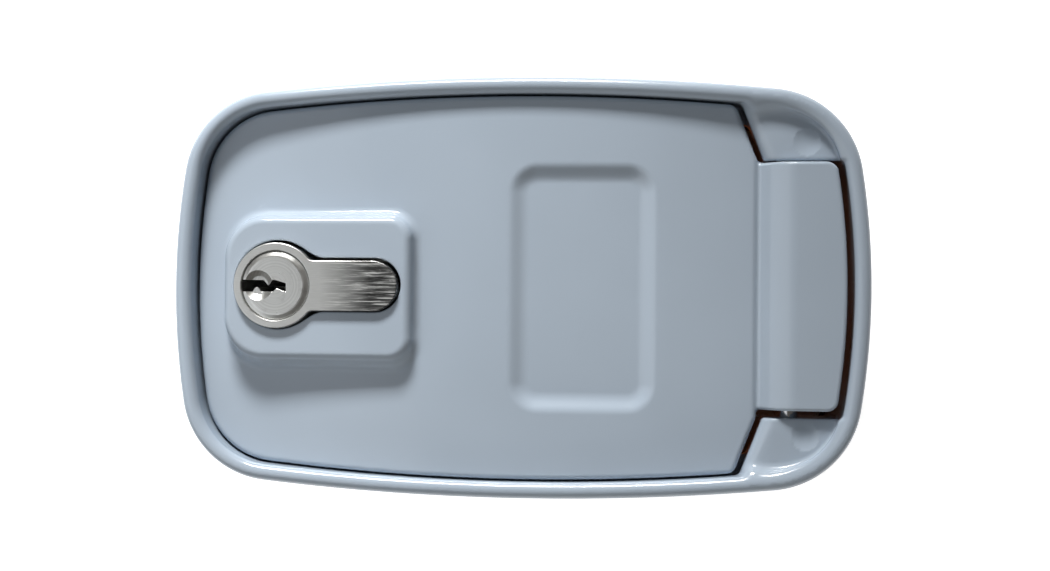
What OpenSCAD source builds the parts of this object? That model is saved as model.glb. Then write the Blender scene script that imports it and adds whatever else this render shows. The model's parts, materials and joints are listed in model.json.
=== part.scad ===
// Lockable key-switch box: a hinged, key-locked door over two momentary push buttons.
// It lies on its back: +X right, +Y up as installed, +Z out of the wall.
// The origin is the middle of the back face.

/* [Housing] */
// Width over the rim
body_w = 138; // [130:1:160]
// Height over the rim
body_h = 83; // [80:1:95]
// Depth from the wall to the crest of the rim
body_d = 48; // [46:0.5:52]
// Radius of the bowed left and right sides
side_r = 149; // [130:1:200]
// Radius of the bowed top and bottom
top_r = 497; // [400:1:900]
// Radius of the outline's corners
corner_r = 18.6; // [16:0.2:22]
// Width of the rim, outside to inside
rim_w = 3.2; // [2.6:0.1:3.6]
// How far the side walls stand in from the rim
wall_inset = 1; // [0.5:0.1:1.4]

/* [Door] */
// Gap between door and rim
door_gap = 0.4; // [0.3:0.05:0.6]
// Height of the crown of the door above the wall
door_crown_z = 45.8; // [45:0.1:46.5]
// Radius of the crown, from side to side
door_crown_r = 840; // [700:10:1200]
// Thickness of the door's skin
door_skin = 2.8; // [2:0.1:3]
// Height of the door's edge above the wall on its inner side
door_edge_z = 40.2; // [39.8:0.1:40.6]

/* [Hinge] */
// Distance of the hinge pin from the middle of the housing
hinge_x = 53.5; // [53:0.1:54]
// Height of the hinge pin above the wall
hinge_z = 42.5; // [42:0.1:43]
// Radius of the hinge pin
pin_r = 1.75; // [1.5:0.05:2]
// Top of the hinge knuckle
knuckle_top = 24.7; // [23:0.1:24.7]
// Bottom of the hinge knuckle
knuckle_bottom = -23.5; // [-24.7:0.1:-22]
// Distance from the middle to each hinge ear
ear_y = 25; // [25:0.1:26]

/* [Lock] */
// Distance of the lock's axis from the middle of the housing
lock_x = -47.6; // [-48.6:0.1:-47]
// Height of the lock's face above the wall
lock_face_z = 50; // [49.5:0.1:50.5]
// Radius of the round part of the profile
profile_r = 8.5; // [8.5:0.1:8.6]
// Width of the bar of the profile
bar_w = 10; // [9.8:0.1:10]
// Distance from the lock's axis to the end of the bar
bar_end = 24.5; // [24:0.1:24.5]
// Radius of the turning plug
plug_r = 6.8; // [6.5:0.1:6.8]
// Reach of the cam from the lock's axis
cam_reach = 15; // [14.5:0.1:15]

/* [Controls] */
// Across position of both push buttons
button_x = 10; // [9:0.5:11]
// Distance of each push button from the middle
button_y = 15; // [14.5:0.5:15.5]
// Radius of a button's cap
cap_r = 6.95; // [6:0.05:6.95]
// Travel of a button
travel = 1.5; // [1:0.1:1.6]

/* [Wall fixing] */
// Middle of the four wall holes
hole_mid_x = -8; // [-9:0.5:-7]
// Distance between the wall holes, across
hole_pitch_x = 80; // [78:1:82]
// Distance between the wall holes, up and down
hole_pitch_y = 48; // [46:1:50]
// Radius of a wall hole
wall_hole_r = 2.6; // [2.2:0.1:2.8]

/* [Hidden] */
$fn = 64;
eps = 0.01;

plate_t = 2.5;
gasket_t = 1;
body_z = plate_t + gasket_t;
ledge_top = 39;
ledge_t = 3;
ledge_w = 3.6;
ledge_end_x = 46;
bead_z = 43.6;
run = 0.05;
door_edge_inset = rim_w + door_gap;

// Colours
cast_grey = [0.66, 0.70, 0.75];
nickel = [0.78, 0.77, 0.74];
steel = [0.70, 0.71, 0.72];
brass = [0.80, 0.66, 0.35];
rubber_black = [0.10, 0.10, 0.11];
phenolic = [0.40, 0.22, 0.12];

// ---- Outline of the housing ----------------------------------------------------------

// Centres of the arcs: the top arc, the right-hand arc and the corner between them
top_c = [0, body_h / 2 - top_r];
side_c = [body_w / 2 - side_r, 0];
span = norm(side_c - top_c);
along = ((top_r - corner_r) ^ 2 - (side_r - corner_r) ^ 2 + span ^ 2) / (2 * span);
across = sqrt((top_r - corner_r) ^ 2 - along ^ 2);
unit = (side_c - top_c) / span;
corner_c = top_c + along * unit + across * [unit.y, -unit.x];
top_half_angle = atan2(corner_c.x - top_c.x, corner_c.y - top_c.y);
side_half_angle = atan2(corner_c.y - side_c.y, corner_c.x - side_c.x);

function arc(c, r, from, to, steps) =
    [for (i = [0 : steps]) c + r * [cos(from + (to - from) * i / steps),
                                    sin(from + (to - from) * i / steps)]];
function drop_first(list) = [for (i = [1 : len(list) - 1]) list[i]];

// One quarter of the outline, from the middle of the right side to the middle of the top
function quarter(inset) = concat(
    arc(side_c, side_r - inset, 0, side_half_angle, 3),
    drop_first(arc(corner_c, corner_r - inset, side_half_angle, 90 - top_half_angle, 9)),
    drop_first(arc(top_c, top_r - inset, 90 - top_half_angle, 90, 4)));

function mirror_x(list) = [for (i = [len(list) - 2 : -1 : 0]) [-list[i].x, list[i].y]];
function upper_half(inset) = concat(quarter(inset), mirror_x(quarter(inset)));
function outline(inset) = let (h = upper_half(inset))
    concat(h, [for (i = [1 : len(h) - 2]) [-h[i].x, -h[i].y]]);

module outline_plate(inset, z0, z1) {
    translate([0, 0, z0])
        linear_extrude(z1 - z0)
            polygon(outline(inset));
}

module box_between(low, high) {
    translate(low)
        cube(high - low);
}

module rounded_rect(low, high, r_left, r_right) {
    hull() {
        for (y = [low.y, high.y]) {
            inward = (y == low.y) ? 1 : -1;
            translate([low.x + r_left, y + inward * r_left]) circle(r_left);
            translate([high.x - r_right, y + inward * r_right]) circle(r_right);
        }
    }
}

// A closed ring wall: each step of the profile is [inset, z], in order round the section
module ring_wall(profile) {
    n = len(outline(0));
    m = len(profile);
    points = [for (step = profile) for (p = outline(step[0])) [p.x, p.y, step[1]]];
    faces = [for (j = [0 : m - 1]) for (i = [0 : n - 1])
        [j * n + i, j * n + (i + 1) % n, ((j + 1) % m) * n + (i + 1) % n, ((j + 1) % m) * n + i]];
    polyhedron(points, [for (f = faces) [f[3], f[2], f[1], f[0]]]);
}

// ---- Housing -------------------------------------------------------------------------

corner_boss = [56.5, 29];
corner_boss_r = 5;
corner_boss_h = 11;
corner_hole_r = 2.05;
corner_screw_r = 1.95;
// Pilot hole for the small thread-forming screws, and their shank
pilot_r = 1.55;
small_screw_r = 1.5;

// Section of the wall, from the foot up the outside, over the bead and down the inside
wall_section = [
    [wall_inset, body_z], [wall_inset, 41], [0.25, 42], [0, bead_z],
    [0.15, body_d - 2.3], [0.7, body_d - 0.7], [1.5, body_d], [2.3, body_d - 0.5],
    [rim_w - 0.15, body_d - 1.9], [rim_w, bead_z], [rim_w, body_z]
];

// Radius of a hinge ear about the hinge axis, which grows away from the knuckle
ear_r0 = 5.15;
ear_growth = 0.39;
ear_top_z = body_d - 0.5;
ear_base_z = 35;
ear_end_y = 38;
scoop_depth = 1.9;
scoop_r = 12.7;
ear_r1 = ear_r0 + ear_growth * (ear_end_y - ear_y);
pin_end_y = 33.8;

module ear_blank() {
    translate([0, 0, ear_base_z])
        linear_extrude(ear_top_z - ear_base_z)
            intersection() {
                polygon(outline(wall_inset + 1));
                polygon([[hinge_x - ear_r0, ear_y], [hinge_x - ear_r1, ear_end_y],
                         [hinge_x - ear_r1, body_h / 2], [body_w / 2, body_h / 2],
                         [body_w / 2, ear_y]]);
            }
}

module ear_flank() {
    translate([hinge_x, 0, hinge_z])
        rotate([-90, 0, 0])
            rotate_extrude()
                polygon([[0, ear_y - 1], [ear_r0 - ear_growth, ear_y - 1],
                         [ear_r1 + 2 * ear_growth, ear_end_y + 2], [0, ear_end_y + 2]]);
}

// The scoop in an ear gives the open door's corner room to turn past a right angle
module ear_scoop() {
    translate([hinge_x - 3, ear_y - 2.6, ear_top_z - scoop_depth])
        cylinder(r = scoop_r, h = 4);
}

module ear() {
    difference() {
        intersection() {
            ear_blank();
            union() {
                ear_flank();
                box_between([hinge_x, 0, 0], [body_w, body_h, body_d]);
                box_between([0, 0, 0], [hinge_x + 1, body_h, hinge_z]);
            }
        }
        ear_scoop();
    }
}

module housing() {
    color(cast_grey)
        difference() {
            union() {
                ring_wall(wall_section);
                ledge();
                ear();
                mirror([0, 1, 0]) ear();
                for (sx = [-1, 1], sy = [-1, 1])
                    translate([sx * corner_boss.x, sy * corner_boss.y, body_z])
                        cylinder(r = corner_boss_r, h = corner_boss_h);
                strike_pad();
            }
            for (sx = [-1, 1], sy = [-1, 1])
                translate([sx * corner_boss.x, sy * corner_boss.y, body_z - 1])
                    cylinder(r = corner_hole_r, h = corner_boss_h - 0.5);
            translate([hinge_x, -body_h, hinge_z])
                rotate([-90, 0, 0])
                    cylinder(r = pin_r + 0.02, h = body_h + pin_end_y + 0.2);
            for (s = [-1, 1])
                translate([-body_w / 2 + 2.4, s * strike_screw_y, strike_screw_z])
                    rotate([0, 90, 0])
                        cylinder(r = pilot_r, h = 8);
        }
}

// Ledge round three sides of the front opening, which carries the door's gasket
module ledge() {
    translate([0, 0, ledge_top - ledge_t])
        linear_extrude(ledge_t)
            difference() {
                intersection() {
                    polygon(outline(rim_w - 0.8));
                    translate([-body_w, -body_h]) square([body_w + ledge_end_x, 2 * body_h]);
                }
                polygon(outline(rim_w + ledge_w));
            }
}

pad_x = -body_w / 2 + 5.4;
strike_screw_y = 5.5;
strike_screw_z = 31;
pad_half = 12;

module strike_pad() {
    box_between([-body_w / 2 + 2, -pad_half, 12], [pad_x, pad_half, 35]);
}

// ---- Back ----------------------------------------------------------------------------

grommet_x = 27;
grommet_r = 8;
cable_r = 4;

module wall_holes(r) {
    for (sx = [-1, 1], sy = [-1, 1])
        translate([hole_mid_x + sx * hole_pitch_x / 2, sy * hole_pitch_y / 2, -1])
            cylinder(r = r, h = plate_t + gasket_t + 2);
}

module back_plate() {
    color(steel)
        difference() {
            outline_plate(wall_inset, 0, plate_t);
            wall_holes(wall_hole_r);
            translate([grommet_x, 0, -1]) cylinder(r = grommet_r, h = 5);
            for (sx = [-1, 1], sy = [-1, 1])
                translate([sx * corner_boss.x, sy * corner_boss.y, 0])
                    rotate_extrude()
                        polygon([[0, -1], [4.1, -1], [4.1, 0], [2.1, 2], [2.1, 4], [0, 4]]);
        }
}

module back_gasket() {
    color(rubber_black)
        difference() {
            outline_plate(wall_inset + 0.3, plate_t, body_z);
            outline_plate(wall_inset + 3, 0, body_z + 1);
        }
}

// Countersunk screws up through the back plate into the housing's corner bosses
module back_screws() {
    color(steel)
        for (sx = [-1, 1], sy = [-1, 1])
            translate([sx * corner_boss.x, sy * corner_boss.y, 0])
                rotate_extrude()
                    polygon([[0, 0.6], [1.2, 0.6], [1.2, 0], [corner_screw_r + 2, 0],
                             [corner_screw_r, 2], [corner_screw_r, 12], [0, 12]]);
}

// Blind grommet, pressed into the back plate from the inside, with a hole for the cable
module cable_grommet() {
    color(rubber_black)
        translate([grommet_x, 0, 0])
            rotate_extrude()
                polygon([[cable_r, 0], [grommet_r - run, 0], [grommet_r - run, plate_t],
                         [10.4, plate_t], [10.4, 4], [7, 5], [cable_r, 5]]);
}

// ---- Hinge ---------------------------------------------------------------------------

module hinge_pin() {
    color(steel)
        translate([hinge_x, -pin_end_y, hinge_z])
            rotate([-90, 0, 0])
                rotate_extrude()
                    polygon([[0, 0], [pin_r - 0.3, 0], [pin_r, 0.4], [pin_r, 2 * pin_end_y - 0.4],
                             [pin_r - 0.3, 2 * pin_end_y], [0, 2 * pin_end_y]]);
}

module pin_stop_screw() {
    color(steel)
        translate([hinge_x, -pin_end_y - 3.2, hinge_z])
            rotate([-90, 0, 0])
                difference() {
                    cylinder(r = pin_r, h = 3);
                    translate([0, 0, -1]) cylinder(r = 0.9, h = 2.6, $fn = 6);
                }
}

// ---- Door ----------------------------------------------------------------------------

boss_top_z = lock_face_z - 1.1;
boss_low = [lock_x - 10.6, -14.3];
boss_high = [lock_x + 26.6, 13.5];
boss_foot_z = 43;
boss_lean_low = [1, 2.4];
boss_lean_high = [1.5, 2.4];
sleeve_wall = 2.4;
sleeve_back_z = 34;
cylinder_seat_z = 43.8;
recess_low = [-0.7, -23.7];
recess_high = [26.8, 23.7];
recess_depth = 1.1;
step_x = hinge_x - 4.9;
knuckle_z = body_d - 0.3;
knuckle_t = 2.8;
barrel_r = 4;
profile_gap = 0.35;
// The cylinder sits low and left in its cut-out
cutout_shift = [0.2, 0.2];
slant_gap = 1.2;

function crown_z(x) = door_crown_z - door_crown_r + sqrt(door_crown_r ^ 2 - x ^ 2);

module crown_cylinder(depth) {
    translate([0, -body_h, door_crown_z - door_crown_r])
        rotate([-90, 0, 0])
            cylinder(r = door_crown_r - depth, h = 2 * body_h, $fn = 720);
}

// Outline of the door's leaf, which ends in a slanted edge beside each hinge ear
module leaf_outline(inset) {
    near_x = hinge_x - ear_r0 - slant_gap - inset;
    far_x = hinge_x - ear_r1 - slant_gap - inset;
    intersection() {
        polygon(outline(door_edge_inset + inset));
        polygon([[-body_w, -body_h], [far_x, -body_h], [far_x, -ear_end_y], [near_x, -ear_y],
                 [near_x, ear_y], [far_x, ear_end_y], [far_x, body_h], [-body_w, body_h]]);
    }
}

// Euro profile: a round part with a bar that runs to the right
module euro_profile(gap) {
    circle(profile_r + gap);
    translate([0, -bar_w / 2 - gap]) square([bar_end - bar_w / 2, bar_w + 2 * gap]);
    translate([bar_end - bar_w / 2, 0]) circle(bar_w / 2 + gap);
}

module lock_boss() {
    hull() {
        translate([0, 0, boss_top_z - 0.1])
            linear_extrude(0.1)
                rounded_rect(boss_low, boss_high, 8, 4.2, $fn = 32);
        translate([0, 0, boss_foot_z])
            linear_extrude(0.1)
                rounded_rect(boss_low - boss_lean_low, boss_high + boss_lean_high, 9, 6, $fn = 32);
    }
}

module lock_sleeve() {
    translate([lock_x, 0, sleeve_back_z])
        linear_extrude(cylinder_seat_z - sleeve_back_z)
            euro_profile(profile_gap + sleeve_wall);
    box_between([lock_x - 5, -16, door_edge_z], [lock_x + bar_end + 4, 16, cylinder_seat_z]);
}

module label_recess() {
    floor_z = crown_z(recess_high.x) - recess_depth;
    hull() {
        translate([0, 0, floor_z])
            linear_extrude(0.1)
                rounded_rect(recess_low + [1.3, 1.8], recess_high - [1.8, 1.8], 3.4, 3.4, $fn = 32);
        translate([0, 0, floor_z + 2.2])
            linear_extrude(0.1)
                rounded_rect(recess_low - [0.6, 0.6], recess_high + [0.6, 0.6], 5.4, 5.4, $fn = 32);
    }
}

// Section of the knuckle, drawn across the hinge: a step up from the leaf, a flat top
// that reaches towards the rim, and the barrel round the pin
module knuckle_section() {
    x0 = step_x - 3;
    polygon([[x0, door_edge_z], [x0, crown_z(x0)], [step_x + 0.2, crown_z(step_x) + 0.5],
             [step_x + 2.8, knuckle_z - 0.3], [step_x + 3.8, knuckle_z],
             [body_w / 2, knuckle_z], [body_w / 2, knuckle_z - knuckle_t],
             [hinge_x + 3, knuckle_z - knuckle_t], [hinge_x + 1, hinge_z - barrel_r + 0.3],
             [hinge_x - 2, hinge_z - barrel_r + 0.3], [step_x, door_edge_z]]);
    translate([hinge_x, hinge_z]) circle(barrel_r);
}

module knuckle() {
    intersection() {
        translate([0, knuckle_top, 0])
            rotate([90, 0, 0])
                linear_extrude(knuckle_top - knuckle_bottom)
                    knuckle_section();
        outline_plate(rim_w + 1.7, 30, body_d);
    }
}

module door_leaf() {
    difference() {
        intersection() {
            translate([0, 0, door_edge_z])
                linear_extrude(10)
                    leaf_outline(0);
            crown_cylinder(0);
        }
        intersection() {
            translate([0, 0, door_edge_z - 1])
                linear_extrude(10)
                    leaf_outline(2.6);
            crown_cylinder(door_skin);
        }
    }
}

module door() {
    color(cast_grey)
        difference() {
            union() {
                door_leaf();
                lock_boss();
                lock_sleeve();
                knuckle();
            }
            label_recess();
            translate([lock_x + cutout_shift.x, cutout_shift.y, 30])
                linear_extrude(30)
                    euro_profile(profile_gap);
            translate([hinge_x, -body_h / 2, hinge_z])
                rotate([-90, 0, 0])
                    cylinder(r = pin_r + run, h = body_h);
            for (s = [-1, 1])
                translate([saddle_screw_x, s * saddle_screw_y, door_edge_z - 1])
                    cylinder(r = pilot_r, h = 6.5);
        }
}

module door_gasket() {
    color(rubber_black)
        translate([0, 0, ledge_top])
            linear_extrude(door_edge_z - ledge_top)
                difference() {
                    intersection() {
                        polygon(outline(rim_w + 0.9));
                        translate([-body_w, -body_h]) square([body_w + ledge_end_x - 4, 2 * body_h]);
                    }
                    polygon(outline(rim_w + ledge_w - 0.3));
                }
}

// ---- Lock cylinder -------------------------------------------------------------------

cam_z = lock_face_z - 30;
cam_t = 9.8;
slot_t = 10;
rear_z = lock_face_z - 40;
chamber_pitch = 3.5;
chamber_z0 = lock_face_z - 4.6;
chamber_r = 1.45;
chambers = 5;
shear_x = plug_r + run;
driver_l = 5;
chamber_plug_l = 2;
pin_spring_l = bar_end - chamber_plug_l - 0.3 - shear_x - driver_l - 0.1;
shaft_r = 4;

module at_chambers() {
    for (i = [0 : chambers - 1])
        translate([lock_x, 0, chamber_z0 - i * chamber_pitch])
            rotate([0, 90, 0])
                children();
}

module cylinder_body() {
    color(nickel)
        difference() {
            translate([lock_x, 0, rear_z])
                linear_extrude(lock_face_z - rear_z)
                    euro_profile(0);
            translate([lock_x, 0, cam_z + slot_t / 2])
                cylinder(r = plug_r + run, h = 40);
            translate([lock_x, 0, rear_z - 1])
                cylinder(r = shaft_r + run, h = 20);
            translate([lock_x, 0, cam_z - slot_t / 2])
                cylinder(r = cam_reach + 0.8, h = slot_t);
            at_chambers()
                translate([0, 0, 1])
                    cylinder(r = chamber_r + run, h = 40, $fn = 24);
            translate([saddle_hole_x, 0, cam_z])
                rotate([90, 0, 0])
                    cylinder(r = 2.5, h = 30, center = true);
        }
}

module chamber_plugs() {
    color(brass)
        at_chambers()
            translate([0, 0, bar_end - chamber_plug_l - 0.3])
                cylinder(r = chamber_r + run, h = chamber_plug_l, $fn = 24);
}

module coil(r, wire_r, length, turns) {
    sides = 6;
    steps = turns * 10;
    function ring(t) = [for (k = [0 : sides - 1])
        let (w = 360 * k / sides, q = r + wire_r * cos(w))
        [q * cos(360 * turns * t), q * sin(360 * turns * t),
         wire_r + (length - 2 * wire_r) * t + wire_r * sin(w)]];
    points = [for (i = [0 : steps]) each ring(i / steps)];
    sides_faces = [for (i = [0 : steps - 1], k = [0 : sides - 1])
        [i * sides + k, (i + 1) * sides + k, (i + 1) * sides + (k + 1) % sides,
         i * sides + (k + 1) % sides]];
    ends = [[for (k = [0 : sides - 1]) k],
            [for (k = [sides - 1 : -1 : 0]) steps * sides + k]];
    polyhedron(points, concat(sides_faces, ends));
}

// Close-wound springs, each a ribbed sleeve
module pin_springs() {
    ribs = 14;
    pitch = pin_spring_l / ribs;
    outside = [for (i = [0 : ribs - 1]) each [[1.1, i * pitch], [1.3, (i + 0.5) * pitch]]];
    color(steel)
        at_chambers()
            translate([0, 0, shear_x + driver_l + 0.05])
                rotate_extrude($fn = 24)
                    polygon(concat([[0.7, 0]], outside, [[1.1, pin_spring_l], [0.7, pin_spring_l]]));
}

module driver_pins() {
    color(brass)
        at_chambers()
            translate([0, 0, shear_x + 0.15])
                cylinder(r = chamber_r, h = driver_l - 0.15, $fn = 24);
}

module key_pins() {
    color(brass)
        at_chambers()
            translate([0, 0, 2.6])
                cylinder(r = chamber_r - 0.02, h = plug_r - 2.6 - 0.3, $fn = 24);
}

// Keyway, seen from the front: it breaks out of the plug at the left and has two wards
module keyway() {
    polygon([[-plug_r - 1, 1.05], [-2.55, 1.05], [-1.55, -0.1], [-0.45, 1.05], [0, 1.05],
             [2.2, 0.4], [2.2, -1.25], [0.25, -0.55], [-0.4, -1.25], [-3, -1.25],
             [-3.45, -0.55], [-3.9, -0.3], [-4.4, -0.55], [-4.75, -1.25], [-plug_r - 1, -1.25]]);
}

module plug() {
    plug_back = cam_z + slot_t / 2 + 0.1;
    plug_face_z = lock_face_z + 0.1;
    color(nickel)
        translate([lock_x, 0, 0])
            difference() {
                rotate_extrude()
                    polygon([[0, rear_z - 2], [shaft_r - 0.3, rear_z - 2], [shaft_r, rear_z - 1.7],
                             [shaft_r, rear_z - 1.2], [shaft_r - 0.6, rear_z - 1.2],
                             [shaft_r - 0.6, rear_z - 0.2], [shaft_r, rear_z - 0.2],
                             [shaft_r, plug_back], [plug_r, plug_back],
                             [plug_r, plug_face_z - 0.5], [plug_r - 1, plug_face_z],
                             [0, plug_face_z]]);
                translate([0, 0, plug_back + 1])
                    linear_extrude(40)
                        keyway();
                translate([-3.4, 0, lock_face_z - 0.8])
                    rotate_extrude()
                        polygon([[0, 0], [2, 0], [3.1, 2], [0, 2]]);
                for (i = [0 : chambers - 1])
                    translate([0, 0, chamber_z0 - i * chamber_pitch])
                        rotate([0, 90, 0])
                            translate([0, 0, 2.5])
                                cylinder(r = chamber_r + 0.02, h = 10, $fn = 24);
            }
}

// The cam points down at rest; a quarter turn clockwise puts it behind the strike plate
module cam() {
    color(steel)
        translate([lock_x, 0, cam_z - cam_t / 2])
            linear_extrude(cam_t)
                difference() {
                    union() {
                        circle(profile_r - 0.3);
                        intersection() {
                            translate([-5, -cam_reach - 1]) square([10, cam_reach + 1]);
                            circle(cam_reach, $fn = 96);
                        }
                    }
                    circle(shaft_r + 0.02);
                }
}

module cam_circlip() {
    color(steel)
        translate([lock_x, 0, rear_z - 1.1])
            linear_extrude(0.8)
                difference() {
                    circle(shaft_r + 1.4);
                    circle(shaft_r - 0.58);
                    translate([0, -1.6]) square([8, 3.2]);
                }
}

saddle_hole_x = lock_x + 20;
saddle_x0 = lock_x + 15.9;
saddle_x1 = lock_x + bar_end - 0.2;
saddle_t = 1.8;
saddle_in = bar_w / 2 + 0.1;
saddle_screw_x = (saddle_x0 + saddle_x1) / 2;
saddle_riser_y = 10.5;
saddle_step_z = 33.8;
saddle_screw_y = 13.2;

// Saddle: two legs beside the lock's bar, with feet screwed to the back of the door
module cylinder_saddle() {
    legs_low_z = cam_z - 5;
    color(steel)
        difference() {
            for (s = [0, 1])
                mirror([0, s, 0]) {
                    box_between([saddle_x0, saddle_in, legs_low_z],
                                [saddle_x1, saddle_in + saddle_t, saddle_step_z]);
                    box_between([saddle_x0, saddle_in, saddle_step_z - saddle_t],
                                [saddle_x1, saddle_riser_y, saddle_step_z]);
                    box_between([saddle_x0, saddle_riser_y - saddle_t, saddle_step_z - saddle_t],
                                [saddle_x1, saddle_riser_y, door_edge_z]);
                    box_between([saddle_x0, saddle_riser_y - saddle_t, door_edge_z - saddle_t],
                                [saddle_x1, saddle_riser_y + 5.5, door_edge_z]);
                }
            translate([saddle_hole_x, 0, cam_z])
                rotate([90, 0, 0])
                    cylinder(r = 2.7, h = 40, center = true);
            for (s = [-1, 1])
                translate([saddle_screw_x, s * saddle_screw_y, 30])
                    cylinder(r = 1.7, h = 20);
        }
}

module saddle_screws() {
    color(steel)
        for (s = [-1, 1])
            translate([saddle_screw_x, s * saddle_screw_y, door_edge_z - saddle_t])
                rotate([180, 0, 0])
                    pan_screw(small_screw_r, 2.6, 1.8, 5);
}

// Screw with a cross-slotted pan head above z = 0 and its shank below
module pan_screw(r, head_r, head_h, length) {
    difference() {
        rotate_extrude()
            polygon([[0, -length], [r - 0.2, -length], [r, 0.3 - length], [r, 0], [head_r, 0],
                     [head_r, head_h * 0.5], [head_r * 0.7, head_h], [0, head_h]]);
        for (a = [0, 90])
            rotate([0, 0, a])
                translate([-head_r * 0.6, -0.3, head_h * 0.4])
                    cube([head_r * 1.2, 0.6, head_h]);
    }
}

module cylinder_screw() {
    color(steel)
        translate([saddle_hole_x, -saddle_in - saddle_t, cam_z])
            rotate([90, 0, 0])
                pan_screw(2.45, 4.2, 2.4, 2 * saddle_in + saddle_t + 1);
}

// ---- Strike plate --------------------------------------------------------------------

module strike_plate() {
    lip_z = cam_z + cam_t / 2 + 0.5;
    color(steel)
        difference() {
            union() {
                box_between([pad_x, -9, lip_z], [pad_x + 1.5, 9, 34.5]);
                box_between([pad_x, -9, lip_z], [lock_x - 12.8, 9, lip_z + 1.8]);
            }
            for (s = [-1, 1])
                translate([pad_x - 1, s * strike_screw_y, strike_screw_z])
                    rotate([0, 90, 0])
                        cylinder(r = 1.7, h = 5);
        }
}

module strike_screws() {
    color(steel)
        for (s = [-1, 1])
            translate([pad_x + 1.5, s * strike_screw_y, strike_screw_z])
                rotate([0, 90, 0])
                    pan_screw(small_screw_r, 2.6, 0.6, 4);
}

// ---- Control panel -------------------------------------------------------------------

panel_z = 27;
panel_t = 2;
panel_face = panel_z + panel_t;
post_low_x = -14;
post_high_x = 41;
post_y = 29;
bush_r = 8;
bush_floor_z = 23;
bezel_r = 11;
well_r = 7.25;
stem_r = 3;
spring_z = 24.2;
cap_base_z = 30.2;
cap_top_z = 35.2;
plunger_top_z = 19.8;
switch_top_z = 18;
switch_h = 10.2;
switch_w = 6.4;
switch_l = 19.8;
bracket_t = 1.2;

module at_posts() {
    for (x = [post_low_x, post_high_x], s = [-1, 1])
        translate([x, s * post_y, 0])
            children();
}

module at_buttons() {
    for (s = [0, 1])
        mirror([0, s, 0])
            translate([button_x, button_y, 0])
                children();
}

module panel_standoffs() {
    color(brass)
        at_posts()
            translate([0, 0, plate_t])
                difference() {
                    cylinder(r = 3.2, h = panel_z - plate_t, $fn = 6);
                    translate([0, 0, panel_z - plate_t - 8])
                        cylinder(r = pilot_r, h = 9);
                }
}

module control_panel() {
    color(phenolic)
        translate([0, 0, panel_z])
            linear_extrude(panel_t)
                difference() {
                    union() {
                        translate([-18, -33]) square([63, 66]);
                        translate([44, -22]) square([16, 44]);
                    }
                    at_posts() circle(1.7);
                    at_buttons() circle(bush_r + 0.1);
                }
}

module panel_screws() {
    color(steel)
        at_posts()
            translate([0, 0, panel_face])
                pan_screw(small_screw_r, 2.8, 1.9, 7);
}

// Threaded bush with a bezel on top, which guides the button and holds its spring
module button_bushes() {
    color([0.16, 0.16, 0.17])
        at_buttons()
            rotate_extrude()
                polygon([[stem_r + 0.07, bush_floor_z], [bush_r, bush_floor_z], [bush_r, panel_face],
                         [bezel_r, panel_face], [bezel_r, panel_face + 1],
                         [bezel_r - 1.5, panel_face + 2.4], [well_r, panel_face + 2.4],
                         [well_r, spring_z], [stem_r + 0.07, spring_z]]);
}

module bush_nuts() {
    color(steel)
        at_buttons()
            translate([0, 0, panel_z - bracket_t - 2.4])
                difference() {
                    cylinder(r = 10.6, h = 2.4, $fn = 6);
                    translate([0, 0, -1]) cylinder(r = bush_r + run, h = 5);
                }
}

// Moulded cap with a raised arrow, on a stem that pushes the switch's plunger
module push_button(cap_colour, arrow_turn) {
    color(cap_colour) {
        rotate_extrude()
            polygon([[0, plunger_top_z], [stem_r - 0.8, plunger_top_z], [stem_r - 0.8, 21.2],
                     [stem_r, 21.4], [stem_r, bush_floor_z - 1.1],
                     [stem_r - 0.5, bush_floor_z - 1.1], [stem_r - 0.5, bush_floor_z - 0.4],
                     [stem_r, bush_floor_z - 0.4], [stem_r, cap_base_z], [cap_r, cap_base_z],
                     [cap_r, cap_top_z - 0.8], [cap_r - 0.8, cap_top_z], [0, cap_top_z]]);
        rotate([0, 0, arrow_turn])
            translate([0, 0, cap_top_z - eps])
                linear_extrude(0.5)
                    polygon([[-3, -1.8], [3, -1.8], [0, 3.2]]);
    }
}

module button_clip() {
    color(steel)
        translate([0, 0, bush_floor_z - 1.05])
            linear_extrude(0.6)
                difference() {
                    circle(stem_r + 1.6);
                    circle(stem_r - 0.48);
                    translate([0, -1.2]) square([8, 2.4]);
                }
}

module up_button() {
    translate([button_x, button_y, 0]) push_button([0.12, 0.42, 0.22], 0);
}

module down_button() {
    translate([button_x, -button_y, 0]) push_button([0.66, 0.12, 0.10], 180);
}

module up_button_clip() {
    translate([button_x, button_y, 0]) button_clip();
}

module down_button_clip() {
    translate([button_x, -button_y, 0]) button_clip();
}

module button_spring() {
    color(steel)
        translate([0, 0, spring_z])
            coil(5.2, 0.45, cap_base_z - spring_z, 4);
}

module up_spring() {
    translate([button_x, button_y, 0]) button_spring();
}

module down_spring() {
    translate([button_x, -button_y, 0]) button_spring();
}

// ---- Switches ------------------------------------------------------------------------

switch_x0 = button_x - 12.5;
switch_hole_x = [switch_x0 + 5.1, switch_x0 + 14.6];
switch_hole_z = switch_top_z - 7.3;

module snap_switch() {
    difference() {
        box_between([switch_x0, button_y - switch_w / 2, switch_top_z - switch_h],
                    [switch_x0 + switch_l, button_y + switch_w / 2, switch_top_z]);
        translate([button_x, button_y, switch_top_z - 3])
            cylinder(r = 1.3, h = 4);
        for (x = switch_hole_x)
            translate([x, button_y, switch_hole_z])
                rotate([90, 0, 0])
                    cylinder(r = 1.2, h = 20, center = true);
    }
}

module up_switch() {
    color([0.13, 0.13, 0.14]) snap_switch();
}

module down_switch() {
    color([0.13, 0.13, 0.14]) mirror([0, 1, 0]) snap_switch();
}

module snap_plunger() {
    color([0.75, 0.16, 0.12])
        translate([button_x, button_y, switch_top_z - 1.4])
            cylinder(r = 1.25, h = plunger_top_z - switch_top_z + 1.4);
}

module up_plunger() {
    snap_plunger();
}

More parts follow.
